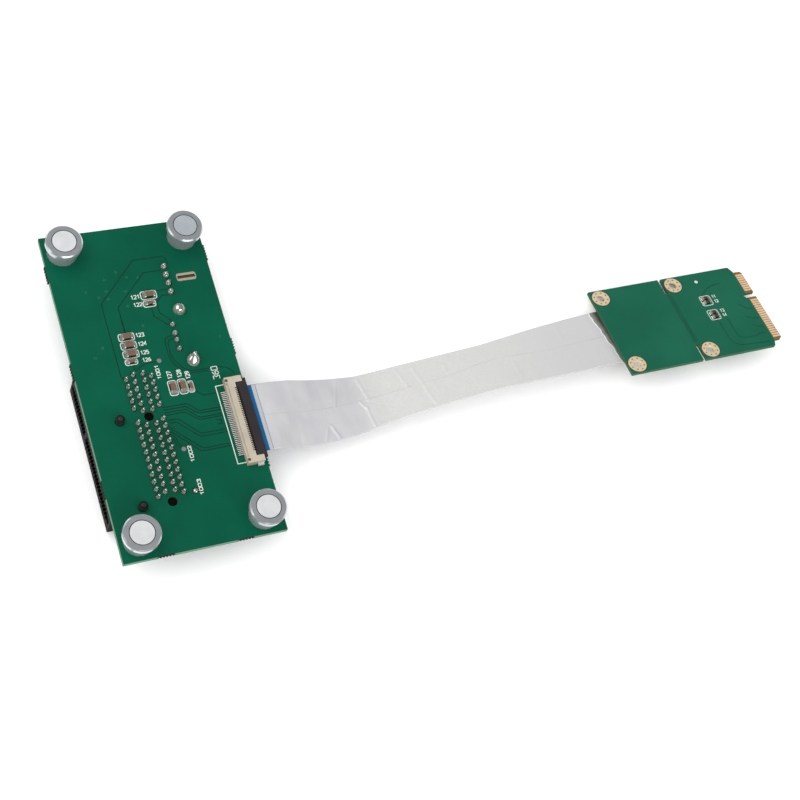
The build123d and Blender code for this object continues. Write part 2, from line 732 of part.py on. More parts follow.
# Ribbon: out of the board socket, down to the floor, along it on one edge and up under the card.
# Each place has its point and the roll of the ribbon there, in degrees about its run.
ribbon_start = board_socket.from_local_coords(Vector(stiffener_show, 0, ribbon_level))
ribbon_exit = board_socket.from_local_coords(Vector(stiffener_show + ribbon_straight, 0, ribbon_level))
ribbon_end = card_socket.from_local_coords(Vector(stiffener_show, 0, ribbon_level))
ribbon_entry = card_socket.from_local_coords(Vector(stiffener_show + ribbon_straight, 0, ribbon_level))
ribbon_route = [
    (-46.6, -14.9, 7.3),
    (-36.6, -14.8, 4.7),
    (-25.1, -13.9, 2.9),
    (-9.1, -13.1, 5.0),
    (10.9, -12.3, 5.7),
    (29.9, -11.6, 6.6),
]
route_points = [Vector(*point) for point in ribbon_route]
ribbon_points = [ribbon_start, ribbon_exit, *route_points, ribbon_entry, ribbon_end]
ribbon_rolls = (0, 0, 6, -6, -20, -25, -27, -19, -card_roll, -card_roll)


def corner_radius(before, corner, after):
    """Largest tangent arc that the two runs at a corner allow, at 0.45 of the shorter run."""
    shorter = min((corner - before).length, (after - corner).length)
    turn = radians((corner - before).get_angle(after - corner))
    return 0.45 * shorter / tan(turn / 2)


corners = zip(ribbon_points, ribbon_points[1:], ribbon_points[2:])
ribbon_radii = [corner_radius(*corner) for corner in corners]
print("ribbon radii", [round(r, 1) for r in ribbon_radii])
with BuildLine() as ribbon_line:
    FilletPolyline(*ribbon_points, radius=ribbon_radii)
ribbon_path = ribbon_line.wires()[0]
runs = [(b - a).length for a, b in zip(ribbon_points, ribbon_points[1:])]
marks = [sum(runs[:i]) / sum(runs) for i in range(len(ribbon_points))]
steps_per_run = 3
stations = []
for i, run_roll in enumerate(ribbon_rolls[:-1]):
    for step in range(steps_per_run):
        share = step / steps_per_run
        place = marks[i] + share * (marks[i + 1] - marks[i])
        stations.append((place, run_roll + share * (ribbon_rolls[i + 1] - run_roll)))
stations.append((1.0, ribbon_rolls[-1]))
with BuildPart() as ribbon_cable:
    for place, turn in stations:
        along = ribbon_path.tangent_at(place)
        across = Vector(0, 1, 0).rotate(Axis((0, 0, 0), along), turn)
        with BuildSketch(Plane(ribbon_path.position_at(place), x_dir=across, z_dir=along)):
            Rectangle(ribbon_width, ribbon_thickness)
    loft(ruled=True)
save(ribbon_cable.part, "ribbon_cable")
expected = ribbon_width * ribbon_thickness * ribbon_path.length
print("ribbon length", ribbon_path.length, "volume", ribbon_cable.part.volume, "of", expected)

# Mini card: stepped outline with a keyed contact tongue, screw holes and break slots
half_card = card_width / 2
tongue_high = tongue_centre_y + tongue_width / 2
tongue_low = tongue_centre_y - tongue_width / 2
card_holes = [(x, side * card_hole_y) for x in card_hole_rows for side in (-1, 1)]
with BuildPart() as mini_card:
    with BuildSketch(card):
        with BuildLine():
            Polyline(
                (0, -half_card),
                (card_shoulder_x, -half_card),
                (card_shoulder_x + tongue_relief, tongue_low),
                (card_length - tongue_chamfer, tongue_low),
                (card_length, tongue_low + tongue_chamfer),
                (card_length, tongue_high - tongue_chamfer),
                (card_length - tongue_chamfer, tongue_high),
                (card_shoulder_x + tongue_relief, tongue_high),
                (card_shoulder_x, half_card),
                (0, half_card),
                close=True,
            )
        make_face()
        with Locations(*card_holes):
            Circle(card_hole_radius, mode=Mode.SUBTRACT)
        with Locations((card_length, notch_y)):
            Rectangle(2 * notch_depth - notch_width, notch_width, mode=Mode.SUBTRACT)
        with Locations((card_length - notch_depth + notch_width / 2, notch_y)):
            Circle(notch_width / 2, mode=Mode.SUBTRACT)
        with Locations((break_slot_x, half_card), (break_slot_x, -half_card)):
            Rectangle(break_slot_width, 2 * break_slot_length - break_slot_width, mode=Mode.SUBTRACT)
        slot_end = half_card - break_slot_length + break_slot_width / 2
        with Locations((break_slot_x, slot_end), (break_slot_x, -slot_end)):
            Circle(break_slot_width / 2, mode=Mode.SUBTRACT)
    extrude(amount=-card_thickness)
save(mini_card.part, "mini_card")

small_rows = [notch_y + finger_from_notch + i * finger_pitch for i in range(small_side_fingers)]
large_rows = [notch_y - finger_from_notch - i * finger_pitch for i in range(large_side_fingers)]
for face, name in ((0, "upper"), (-card_thickness - finger_thickness, "lower")):
    with BuildPart() as fingers:
        with BuildSketch(at(card, card_length - finger_setback - finger_length / 2, 0, face)):
            with Locations(*[(0, y) for y in small_rows + large_rows]):
                Rectangle(finger_length, finger_width)
        extrude(amount=finger_thickness)
    save(fingers.part, f"card_fingers_{name}")

with BuildPart() as card_hole_pads:
    for face in (0, -card_thickness - card_pad_thickness):
        with BuildSketch(at(card, 0, 0, face)):
            with Locations(*card_holes):
                Circle(card_pad_radius)
                Circle(card_hole_radius, mode=Mode.SUBTRACT)
        extrude(amount=card_pad_thickness)
save(card_hole_pads.part, "card_hole_pads")


def make_chips(base, name, chips):
    """Chip capacitors on base: a ceramic body and two metal end caps each."""
    with BuildPart() as bodies:
        for size, x, y, turn in chips:
            with BuildSketch(at(base, x, y)):
                with Locations(Location((0, 0), turn)):
                    Rectangle(size[0] - 2 * chip_end, size[1])
            extrude(amount=size[2])
    save(bodies.part, f"{name}_capacitor_bodies")
    with BuildPart() as ends:
        for size, x, y, turn in chips:
            reach = (size[0] - chip_end) / 2
            with BuildSketch(at(base, x, y)):
                with Locations(Location((0, 0), turn)):
                    with Locations((-reach, 0), (reach, 0)):
                        Rectangle(chip_end, size[1] + 2 * chip_end_proud)
            extrude(amount=size[2] + chip_end_proud)
    save(ends.part, f"{name}_capacitor_ends")


make_chips(board, "power", power_chips)
make_chips(board, "supply", supply_chips)
make_chips(board, "slot", slot_chips)
make_chips(card, "card", [(tiny_chip, card_chip_x, row, 0) for row in card_chip_rows])

with BuildPart() as test_pads:
    with BuildSketch(board):
        with Locations(*test_pad_points):
            Circle(test_pad_radius)
    extrude(amount=test_pad_thickness)
save(test_pads.part, "test_pads")
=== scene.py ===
from math import cos, pi, radians, sin
from random import Random

import bmesh
import bpy
from mathutils import Matrix, Vector


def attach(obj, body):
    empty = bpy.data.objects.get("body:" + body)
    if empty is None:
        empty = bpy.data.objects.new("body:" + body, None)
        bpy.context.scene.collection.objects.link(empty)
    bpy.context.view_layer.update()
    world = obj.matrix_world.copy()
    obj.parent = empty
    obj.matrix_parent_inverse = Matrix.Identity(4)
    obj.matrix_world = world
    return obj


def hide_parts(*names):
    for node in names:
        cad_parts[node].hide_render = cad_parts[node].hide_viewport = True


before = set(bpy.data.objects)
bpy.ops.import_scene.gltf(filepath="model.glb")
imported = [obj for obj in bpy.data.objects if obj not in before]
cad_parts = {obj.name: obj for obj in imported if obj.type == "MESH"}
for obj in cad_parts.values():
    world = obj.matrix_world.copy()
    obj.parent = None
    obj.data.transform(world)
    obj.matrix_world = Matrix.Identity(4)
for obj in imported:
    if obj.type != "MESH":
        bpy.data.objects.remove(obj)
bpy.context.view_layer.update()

MM = 0.001

# Places of the two boards in the row frame, as the CAD has them
BOARD_ORIGIN = (-78.515, 0.0, 10.072)
BOARD_LEAN = radians(3.2969)
CARD_ORIGIN = (49.035, -9.55, 5.8223)
CARD_DIP = radians(1.75)
CARD_ROLL = radians(13.1)


def frame_matrix(origin, x_dir, z_dir):
    """Matrix from a board's own millimetres to the row frame's metres."""
    x_dir, z_dir = Vector(x_dir), Vector(z_dir)
    turn = Matrix((x_dir, z_dir.cross(x_dir), z_dir)).transposed().to_4x4()
    return Matrix.Translation(Vector(origin) * MM) @ turn @ Matrix.Scale(MM, 4)


board = frame_matrix(
    BOARD_ORIGIN,
    (cos(BOARD_LEAN), 0, -sin(BOARD_LEAN)),
    (sin(BOARD_LEAN), 0, cos(BOARD_LEAN)),
)
card = frame_matrix(
    CARD_ORIGIN,
    (cos(CARD_DIP), 0, -sin(CARD_DIP)),
    (sin(CARD_DIP) * cos(CARD_ROLL), sin(CARD_ROLL), cos(CARD_DIP) * cos(CARD_ROLL)),
)


def add_camera():
    """Camera at the photograph's viewpoint, fitted to the boards' corners and pins."""
    forward = Vector((0.3312, 0.3173, -0.8886)).normalized()
    right = Vector((0.9236, -0.3015, 0.2366))
    right = (right - forward * right.dot(forward)).normalized()
    up = right.cross(forward)
    data = bpy.data.cameras.new("camera")
    data.lens = 69.64
    data.sensor_width = 36.0
    data.clip_start = 0.02
    data.clip_end = 5.0
    camera = bpy.data.objects.new("camera", data)
    bpy.context.scene.collection.objects.link(camera)
    turn = Matrix((right, up, -forward)).transposed().to_4x4()
    camera.matrix_world = Matrix.Translation(Vector((-0.153403, -0.146975, 0.371287))) @ turn
    bpy.context.scene.camera = camera


add_camera()
scene = bpy.context.scene
scene.view_settings.view_transform = "Standard"


class Shader:
    """A new node material with its main shader, and short calls for the nodes used here."""

    def __init__(self, name, **values):
        self.material = bpy.data.materials.new(name)
        self.material.use_nodes = True
        self.nodes = self.material.node_tree.nodes
        self.links = self.material.node_tree.links
        self.main = self.nodes["Principled BSDF"]
        self.place = self.nodes.new("ShaderNodeTexCoord").outputs["Object"]
        self.set(**values)

    def set(self, **values):
        for key, value in values.items():
            self.put(self.main.inputs[key.replace("_", " ")], value)

    def put(self, socket, value):
        if isinstance(value, bpy.types.NodeSocket):
            self.links.new(value, socket)
        else:
            socket.default_value = value

    def noise(self, scale, detail=2.0, roughness=0.5, place=None):
        node = self.nodes.new("ShaderNodeTexNoise")
        self.put(node.inputs["Vector"], place or self.place)
        node.inputs["Scale"].default_value = scale
        node.inputs["Detail"].default_value = detail
        node.inputs["Roughness"].default_value = roughness
        return node.outputs["Fac"]

    def math(self, operation, a, b=0.0, c=0.0):
        node = self.nodes.new("ShaderNodeMath")
        node.operation = operation
        for socket, value in zip(node.inputs, (a, b, c)):
            self.put(socket, value)
        return node.outputs[0]

    def span(self, value, low, high, to_low=0.0, to_high=1.0):
        node = self.nodes.new("ShaderNodeMapRange")
        node.interpolation_type = "SMOOTHSTEP"
        keys = ("Value", "From Min", "From Max", "To Min", "To Max")
        for key, entry in zip(keys, (value, low, high, to_low, to_high)):
            self.put(node.inputs[key], entry)
        return node.outputs["Result"]

    def mix(self, factor, first, second):
        node = self.nodes.new("ShaderNodeMix")
        node.data_type = "RGBA"
        self.put(node.inputs[0], factor)
        self.put(node.inputs[6], first)
        self.put(node.inputs[7], second)
        return node.outputs[2]

    def scaled(self, scale, place=None):
        node = self.nodes.new("ShaderNodeMapping")
        self.put(node.inputs["Vector"], place or self.place)
        node.inputs["Scale"].default_value = scale
        return node.outputs["Vector"]

    def along(self, direction, place):
        node = self.nodes.new("ShaderNodeVectorMath")
        node.operation = "DOT_PRODUCT"
        self.put(node.inputs[0], place)
        node.inputs[1].default_value = direction
        return node.outputs["Value"]

    def local(self, base, axis):
        """Place along one axis of a board, in its own millimetres."""
        direction = base.to_3x3().col[axis].normalized() / MM
        return self.math("ADD", self.along(direction, self.place), -direction.dot(base.translation))

    def near(self, value, centre, half, soft=0.1):
        """1 within half of the centre, falling to 0 over the soft distance beyond it."""
        away = self.math("ABSOLUTE", self.math("SUBTRACT", value, centre))
        return self.span(away, half, half + soft, 1.0, 0.0)

    def run(self):
        """Places across and along the ribbon in millimetres, from its own map."""
        uv = self.nodes.new("ShaderNodeUVMap")
        uv.uv_map = "run"
        split = self.nodes.new("ShaderNodeSeparateXYZ")
        self.links.new(uv.outputs["UV"], split.inputs[0])
        across = self.math("MULTIPLY", split.outputs[0], RIBBON_WIDTH / MM)
        return across, self.math("MULTIPLY", split.outputs[1], 1 / MM)

    def point(self, x, y, z=0.0):
        node = self.nodes.new("ShaderNodeCombineXYZ")
        for socket, value in zip(node.inputs, (x, y, z)):
            self.put(socket, value)
        return node.outputs[0]

    def bump(self, height, distance, strength=1.0):
        node = self.nodes.new("ShaderNodeBump")
        self.put(node.inputs["Height"], height)
        node.inputs["Distance"].default_value = distance
        node.inputs["Strength"].default_value = strength
        self.links.new(node.outputs["Normal"], self.main.inputs["Normal"])


# colours are written darker than they show, because the lamps and the world below are brighter than plain
TENT_LIFT = 0.8


def shade(red, green, blue):
    """Linear colour that the tent's light brings to an 8 bit screen colour."""
    def level(value):
        share = value / 255
        return share / 12.92 if share <= 0.04045 else ((share + 0.055) / 1.055) ** 2.4
    return (*[level(value) * TENT_LIFT for value in (red, green, blue)], 1.0)


def plastic(name, colour, roughness=0.45, grain=0.00001, gloss=0.35):
    """Moulded plastic with a fine spark-eroded grain and slight shading."""
    s = Shader(name)
    tone = s.span(s.noise(180, 3), 0.3, 0.7)
    darker = tuple(channel * 0.86 for channel in colour[:3]) + (1.0,)
    s.set(Base_Color=s.mix(tone, darker, colour), Specular_IOR_Level=gloss)
    s.set(Roughness=s.span(s.noise(900), 0.2, 0.8, roughness - 0.06, roughness + 0.08))
    s.bump(s.noise(5200, 3), grain)
    return s.material


def metal(name, colour, roughness=0.3, metallic=1.0, wear=0.12, grain=0.000004):
    """Plated metal, a little duller in patches."""
    s = Shader(name, Metallic=metallic)
    patch = s.span(s.noise(420, 4), 0.35, 0.75)
    dull = tuple(channel * (1 - wear) for channel in colour[:3]) + (1.0,)
    s.set(Base_Color=s.mix(patch, colour, dull))
    s.set(Roughness=s.span(patch, 0, 1, roughness, roughness + 0.12))
    s.bump(s.noise(6500, 2), grain)
    return s.material


# radius in mm of the gap between a foot's magnet and its cup
GROOVE = 3.12


def turned(name, colour, foot, roughness, metallic):
    """Steel or magnet face turned on a lathe: fine rings, and painted shade in the groove about the foot's
    middle.
    """
    s = Shader(name, Metallic=metallic)
    across = s.math("SUBTRACT", s.local(board, 0), foot[0])
    along = s.math("SUBTRACT", s.local(board, 1), foot[1])
    squares = s.math("ADD", s.math("MULTIPLY", across, across), s.math("MULTIPLY", along, along))
    radius = s.math("SQRT", squares)
    rings = s.noise(7, 3, place=s.point(radius, 0))
    patch = s.span(s.noise(350, 4), 0.3, 0.75)
    dull = tuple(channel * 0.8 for channel in colour[:3]) + (1.0,)
    tone = s.mix(s.math("MULTIPLY", s.math("ADD", rings, patch), 0.5), dull, colour)
    # painted shade in the gap between magnet and cup, at the GROOVE radius
    s.set(Base_Color=s.mix(s.near(radius, GROOVE, 0.07, 0.08), tone, shade(126, 130, 134)))
    s.set(Roughness=s.span(rings, 0.3, 0.7, roughness - 0.05, roughness + 0.1))
    s.bump(rings, 0.000012)
    return s.material


def lacquered(name, base, green, shadow, rim, rim_box, painted_stub_shade=(), bare_from=None):
    """Green lacquer on the faces of a board, and a paler sawn rim outside rim_box, its x and y limits.

    Holes inside that box get painted shade on their walls. The rim's stubs, where it broke from its
    panel, get painted shade too, given as axis, middle and half length. Past bare_from, along the
    board's x, the lacquer stops and the laminate shows.
    """
    s = Shader(name, Specular_IOR_Level=0.1)
    face = s.nodes.new("ShaderNodeNewGeometry").outputs["True Normal"]
    level = s.math("ABSOLUTE", s.along(base.to_3x3().col[2].normalized(), face))
    on_face = s.span(level, 0.6, 0.8)
    coat = s.mix(s.span(s.noise(55, 3), 0.3, 0.75), green, shadow)
    if bare_from is not None:
        bare = s.span(s.local(base, 0), bare_from, bare_from + 0.2)
        coat = s.mix(bare, coat, s.mix(s.noise(700, 2), shade(150, 108, 60), shade(122, 86, 46)))
    weave = s.noise(1, 3, place=s.scaled((900, 900, 9000)))
    (x0, x1), (y0, y1) = rim_box
    inside = s.near(s.local(base, 0), (x0 + x1) / 2, (x1 - x0) / 2, 0.2)
    inside = s.math("MULTIPLY", inside, s.near(s.local(base, 1), (y0 + y1) / 2, (y1 - y0) / 2, 0.2))
    edge = s.mix(weave, rim, tuple(channel * 0.7 for channel in rim[:3]) + (1.0,))
    # painted shade on the walls of holes inside rim_box
    edge = s.mix(inside, edge, shade(56, 50, 36))
    # painted shade on the rim's broken stubs
    for axis, middle, half in painted_stub_shade:
        near = s.near(s.local(base, axis), middle, half, 0.15)
        edge = s.mix(near, edge, shade(46, 40, 32))
    s.set(Base_Color=s.mix(on_face, edge, coat), Roughness=s.span(on_face, 0, 1, 0.8, 0.36))
    ripple = s.math("ADD", s.noise(700, 3), s.math("MULTIPLY", s.noise(90), 1.5))
    s.bump(ripple, 0.00001)
    return s.material


def dress(material, *nodes):
    """Give carried-over CAD nodes their finish."""
    for node in nodes:
        for slot in bpy.data.objects[node].material_slots:
            slot.link = "OBJECT"
            slot.material = material


def add_piece(name, bm, base, material, replaced=()):
    """Piece made in a board's own millimetres, which rides with the boards."""
    bm.transform(base)
    bmesh.ops.recalc_face_normals(bm, faces=bm.faces)
    mesh = bpy.data.meshes.new(name)
    bm.to_mesh(mesh)
    bm.free()
    mesh.materials.append(material)
    piece = bpy.data.objects.new(name, mesh)
    scene.collection.objects.link(piece)
    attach(piece, "boards")
    if replaced:
        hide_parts(*replaced)


def lathe(bm, x, y, profile, lean=(0.0, 0.0), sides=16):
    """Turned shape at x and y: rings of radius and height, coming to a point at radius 0."""
    rings = []
    for radius, height in profile:
        middle = Vector((x + lean[0] * height, y + lean[1] * height, height))
        count = sides if radius else 1
        turns = [2 * pi * i / count for i in range(count)]
        rings.append([bm.verts.new(middle + Vector((cos(t), sin(t), 0)) * radius) for t in turns])
    for low, high in zip(rings, rings[1:]):
        for i in range(sides):
            j = (i + 1) % sides
            corners = [low[i % len(low)], low[j % len(low)], high[j % len(high)], high[i % len(high)]]
            face = bm.faces.new(list(dict.fromkeys(corners)))
            face.smooth = True


def line(bm, points, width, top, closed=False):
    """Raised flat line through points on a board, mitred at its corners."""
    spots = [Vector(point) for point in points]
    count = len(spots)
    cuts = []
    for i, spot in enumerate(spots):
        runs = []
        if i or closed:
            runs.append((spot - spots[i - 1]).normalized())
        if i < count - 1 or closed:
            runs.append((spots[(i + 1) % count] - spot).normalized())
        mean = sum(runs, Vector((0, 0))).normalized()
        side = Vector((-mean.y, mean.x))
        side *= width / 2 / max(0.4, side.dot(Vector((-runs[0].y, runs[0].x))))
        left, right = spot + side, spot - side
        cuts.append([bm.verts.new(v) for v in ((*left, 0), (*left, top), (*right, top), (*right, 0))])
    pairs = list(zip(cuts, cuts[1:]))
    if closed:
        pairs.append((cuts[-1], cuts[0]))
    for one, two in pairs:
        for i in range(3):
            bm.faces.new((one[i], one[i + 1], two[i + 1], two[i]))


def tile(bm, x0, x1, y0, y1, low, top):
    """Thin raised oblong, open beneath."""
    spots = [(x0, y0), (x1, y0), (x1, y1), (x0, y1)]
    feet = [bm.verts.new((*spot, low)) for spot in spots]
    corners = [bm.verts.new((*spot, top)) for spot in spots]
    bm.faces.new(corners)
    for i in range(4):
        j = (i + 1) % 4
        bm.faces.new((feet[i], feet[j], corners[j], corners[i]))


def disc(bm, x, y, radius, top, hole=0.0):
    """Thin raised disc or ring."""
    if hole:
        lathe(bm, x, y, [(radius, 0), (radius, top), (hole, top), (hole, 0)])
    else:
        lathe(bm, x, y, [(radius, 0), (radius, top), (0, top)])


def rounded(x0, x1, y0, y1, corner):
    """Outline of a box with each corner cut by two points of its arc."""
    cut = corner * 0.29
    return [
        (x0 + corner, y0), (x1 - corner, y0), (x1 - cut, y0 + cut), (x1, y0 + corner),
        (x1, y1 - corner), (x1 - cut, y1 - cut), (x1 - corner, y1), (x0 + corner, y1),
        (x0 + cut, y1 - cut), (x0, y1 - corner), (x0, y0 + corner), (x0 + cut, y0 + cut),
    ]


# strokes of each digit in a box one high and one wide
DIGITS = {
    "0": [[(0, 0.1), (0.1, 0), (0.9, 0), (1, 0.1), (1, 0.9), (0.9, 1), (0.1, 1), (0, 0.9), (0, 0.1)]],
    "1": [[(0.2, 0.8), (0.6, 1), (0.6, 0)]],
    "2": [[(0, 0.85), (0.2, 1), (0.8, 1), (1, 0.8), (1, 0.6), (0, 0), (1, 0)]],
    "3": [[(0, 1), (0.9, 1), (1, 0.75), (0.6, 0.5), (1, 0.25), (0.9, 0), (0, 0)]],
    "4": [[(0.8, 0), (0.8, 1), (0, 0.3), (1, 0.3)]],
    "5": [[(1, 1), (0.1, 1), (0, 0.55), (0.8, 0.6), (1, 0.3), (0.8, 0), (0, 0)]],
    "6": [[(0.9, 1), (0.2, 0.8), (0, 0.3), (0.2, 0), (0.8, 0), (1, 0.3), (0.8, 0.55), (0, 0.4)]],
    "7": [[(0, 1), (1, 1), (0.4, 0)]],
    "8": [[
        (0.5, 0.5), (0, 0.75), (0.5, 1), (1, 0.75), (0.5, 0.5), (0, 0.25), (0.5, 0), (1, 0.25), (0.5, 0.5),
    ]],
    "9": [[(0.1, 0), (0.8, 0.2), (1, 0.7), (0.8, 1), (0.2, 1), (0, 0.7), (0.2, 0.45), (1, 0.6)]],
}


def number(bm, text, x0, x1, y0, y1, width, top, upright=True):
    """Plain printed number that fills a box, read along x, or along y where it isn't upright."""
    pitch = 1 / len(text)
    for place, digit in enumerate(text):
        for stroke in DIGITS[digit]:
            spots = []
            for u, v in stroke:
                share = (place + 0.12 + 0.76 * u) * pitch
                if upright:
                    spots.append((x0 + (x1 - x0) * share, y0 + (y1 - y0) * v))
                else:
                    spots.append((x1 - (x1 - x0) * v, y0 + (y1 - y0) * share))
            line(bm, spots, width, top)


def route_line(points):
    """Points read from the smooth curve that the route's points control."""
    data = bpy.data.curves.new("ribbon_route", "CURVE")
    data.dimensions = "3D"
    data.resolution_u = 40
    spline = data.splines.new("NURBS")
    spline.points.add(len(points) - 1)
    for point, place in zip(spline.points, points):
        point.co = (*place, 1.0)
    spline.order_u = 3
    spline.use_endpoint_u = True
    holder = bpy.data.objects.new("ribbon_route", data)
    scene.collection.objects.link(holder)
    bpy.context.view_layer.update()
    mesh = bpy.data.meshes.new_from_object(holder.evaluated_get(bpy.context.evaluated_depsgraph_get()))
    line = [v.co.copy() for v in mesh.vertices]
    bpy.data.objects.remove(holder)
    bpy.data.meshes.remove(mesh)
    bpy.data.curves.remove(data)
    return line


def run_marks(line):
    """Distance along the line of each of its points."""
    marks = [0.0]
    for before, after in zip(line, line[1:]):
        marks.append(marks[-1] + (after - before).length)
    return marks


def roll_at(share):
    """Roll of the ribbon at a share of its run, in degrees."""
    route_marks = run_marks(route)
    wanted = share * route_marks[-1]
    for i in range(len(route) - 1):
        if wanted <= route_marks[i + 1] or i == len(route) - 2:
            part = (wanted - route_marks[i]) / (route_marks[i + 1] - route_marks[i])
            return ribbon_rolls[i] + min(max(part, 0), 1) * (ribbon_rolls[i + 1] - ribbon_rolls[i])


def crease(across, along, line_from, line_to, height, width):
    """Rise of a straight fold in the foil, from one place to another, in mm."""
    (x0, y0), (x1, y1) = line_from, line_to
    dx, dy = x1 - x0, y1 - y0
    share = ((across - x0) * dx + (along - y0) * dy) / (dx * dx + dy * dy)
    reach = min(max(share, 0), 1)
    away = ((across - x0 - reach * dx) ** 2 + (along - y0 - reach * dy) ** 2) ** 0.5
    return height * max(0.0, 1 - away / width) ** 2


# Flat ribbon: foil wrapped, 18.4 mm wide, from the main board's socket to the one under the card
RIBBON_WIDTH = 0.0184
RIBBON_THICKNESS = 0.00035
SOCKET_Y = -14.65
CARD_SOCKET_X = 6.1
# the ribbon's route as in the CAD, with its roll at each point
ribbon_start = board @ Vector((22.0, SOCKET_Y, 0.9))
ribbon_exit = board @ Vector((26.0, SOCKET_Y, 0.9))
ribbon_end = card @ Vector((CARD_SOCKET_X - 1.0, 0, -1.9))
ribbon_entry = card @ Vector((CARD_SOCKET_X - 5.0, 0, -1.9))
ribbon_route = [
    (-46.6, -14.9, 7.3),
    (-36.6, -14.8, 4.7),
    (-25.1, -13.9, 2.9),
    (-9.1, -13.1, 5.0),
    (10.9, -12.3, 5.7),
    (29.9, -11.6, 6.6),
]
route = [ribbon_start, ribbon_exit, *[Vector(p) * MM for p in ribbon_route], ribbon_entry, ribbon_end]
ribbon_rolls = (0, 0, 6, -6, -20, -25, -27, -19, -13.1, -13.1)

# folds in the foil: place across and along the ribbon at each end, height and half width, in mm
CREASES = [
    ((8.6, 26.5), (0.4, 22.6), 0.22, 0.6),
    ((8.2, 32.3), (0.0, 32.5), 0.42, 0.7),
    ((0.2, 29.9), (-2.6, 30.8), 0.44, 0.6),
    ((-1.8, 30.9), (-8.8, 30.5), 0.32, 0.6),
    ((-5.4, 18.2), (-8.8, 16.6), 0.24, 0.6),
    ((-5.0, 19.3), (-8.8, 20.3), 0.44, 0.7),
    ((7.8, 43.3), (0.6, 44.1), 0.34, 0.7),
    ((6.8, 47.9), (-7.8, 48.7), 0.34, 0.8),
    ((7.4, 56.5), (0.8, 56.3), 0.18, 0.7),
    ((-4.0, 62.0), (-8.4, 63.0), 0.14, 0.7),
    ((-0.2, 74.9), (-6.6, 74.7), 0.2, 0.7),
    ((3.0, 86.0), (-3.0, 88.0), 0.1, 0.8),
    ((7.5, 93.0), (2.0, 92.0), 0.12, 0.7),
]


def ribbon_mesh(line):
    """Flat ribbon along the line: a thin closed strip with folds in its foil."""
    marks = run_marks(line)
    columns = 60
    half = RIBBON_WIDTH / 2
    bm = bmesh.new()
    uv = bm.loops.layers.uv.new("run")
    rows = []
    for i, place in enumerate(line):
        before, after = line[max(i - 1, 0)], line[min(i + 1, len(line) - 1)]
        run = (after - before).normalized()
        across = Matrix.Rotation(radians(roll_at(marks[i] / marks[-1])), 3, run) @ Vector((0, 1, 0))
        across = (across - run * across.dot(run)).normalized()
        out = run.cross(across)
        upper, lower = [], []
        for c in range(columns + 1):
            side = -half + RIBBON_WIDTH * c / columns
            rise = sum(crease(side / MM, marks[i] / MM, *fold) for fold in CREASES) * MM
            level = RIBBON_THICKNESS / 2
            upper.append(bm.verts.new(place + across * side + out * (level + rise)))
            lower.append(bm.verts.new(place + across * side + out * (rise * 0.6 - level)))
        rows.append((upper, lower, marks[i]))

    def face(corners, spots):
        f = bm.faces.new(corners)
        f.smooth = True
        for loop, spot in zip(f.loops, spots):
            loop[uv].uv = spot

    for (up0, low0, m0), (up1, low1, m1) in zip(rows, rows[1:]):
        for c in range(columns):
            s0, s1 = c / columns, (c + 1) / columns
            face((up0[c], up1[c], up1[c + 1], up0[c + 1]), ((s0, m0), (s0, m1), (s1, m1), (s1, m0)))
            face((low0[c + 1], low1[c + 1], low1[c], low0[c]), ((s1, m0), (s1, m1), (s0, m1), (s0, m0)))
        face((low0[0], low1[0], up1[0], up0[0]), ((0, m0), (0, m1), (0, m1), (0, m0)))
        last = columns
        face((up0[last], up1[last], low1[last], low0[last]), ((1, m0), (1, m1), (1, m1), (1, m0)))
    for upper, lower, mark in (rows[0], rows[-1]):
        for c in range(columns):
            face((upper[c], upper[c + 1], lower[c + 1], lower[c]), [(0.5, mark)] * 4)
    bmesh.ops.recalc_face_normals(bm, faces=bm.faces)
    mesh = bpy.data.meshes.new("ribbon")
    bm.to_mesh(mesh)
    bm.free()
    return mesh


route_curve = route_line(route)
ribbon = bpy.data.objects.new("ribbon", ribbon_mesh(route_curve))
scene.collection.objects.link(ribbon)
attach(ribbon, "boards")
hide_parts("ribbon_cable")

foil = Shader("foil", Metallic=0.2, Specular_IOR_Level=0.5)
across, along = foil.run()
dents = foil.noise(0.16, 3, 0.5, place=foil.point(along, foil.math("MULTIPLY", across, 0.6)))
fine = foil.noise(1.6, 3, place=foil.point(along, across, 3.0))
silver = foil.mix(foil.span(dents, 0.3, 0.7), shade(206, 206, 210), shade(217, 217, 220))
paler = foil.mix(foil.span(fine, 0.3, 0.7), shade(224, 224, 221), shade(231, 230, 228))
silver = foil.mix(foil.span(along, 24, 40), silver, paler)
silver = foil.mix(foil.span(along, 55, 95, 0.0, 0.7), silver, shade(215, 215, 217))
seam_at = foil.span(foil.math("ABSOLUTE", foil.math("SUBTRACT", along, 70)), 0, 18, 11.4, 9.6)
lap = foil.near(foil.math("SUBTRACT", across, seam_at), 0, 0.04, 0.16)
faint = foil.math("MULTIPLY", lap, foil.span(dents, 0.35, 0.7, 0.02, 0.34))
silver = foil.mix(faint, silver, shade(150, 152, 160))
# the foil's torn end just before the card, with a painted highlight along its edge, and past it the bare
# cable under a painted shadow of the card
torn = foil.math("ADD", foil.math("MULTIPLY", foil.noise(0.3, 1, place=foil.point(across, 0)), 1.8), 104.9)
torn = foil.math("SUBTRACT", torn, foil.math("MULTIPLY", across, 0.05))
past = foil.math("SUBTRACT", along, torn)
# bare cable past the torn end: darker, and darkening further with painted shadow of the card
bare = foil.mix(foil.span(past, 0.3, 2.2), shade(160, 158, 154), shade(92, 90, 86))
silver = foil.mix(foil.span(past, 0.1, 0.25), silver, bare)
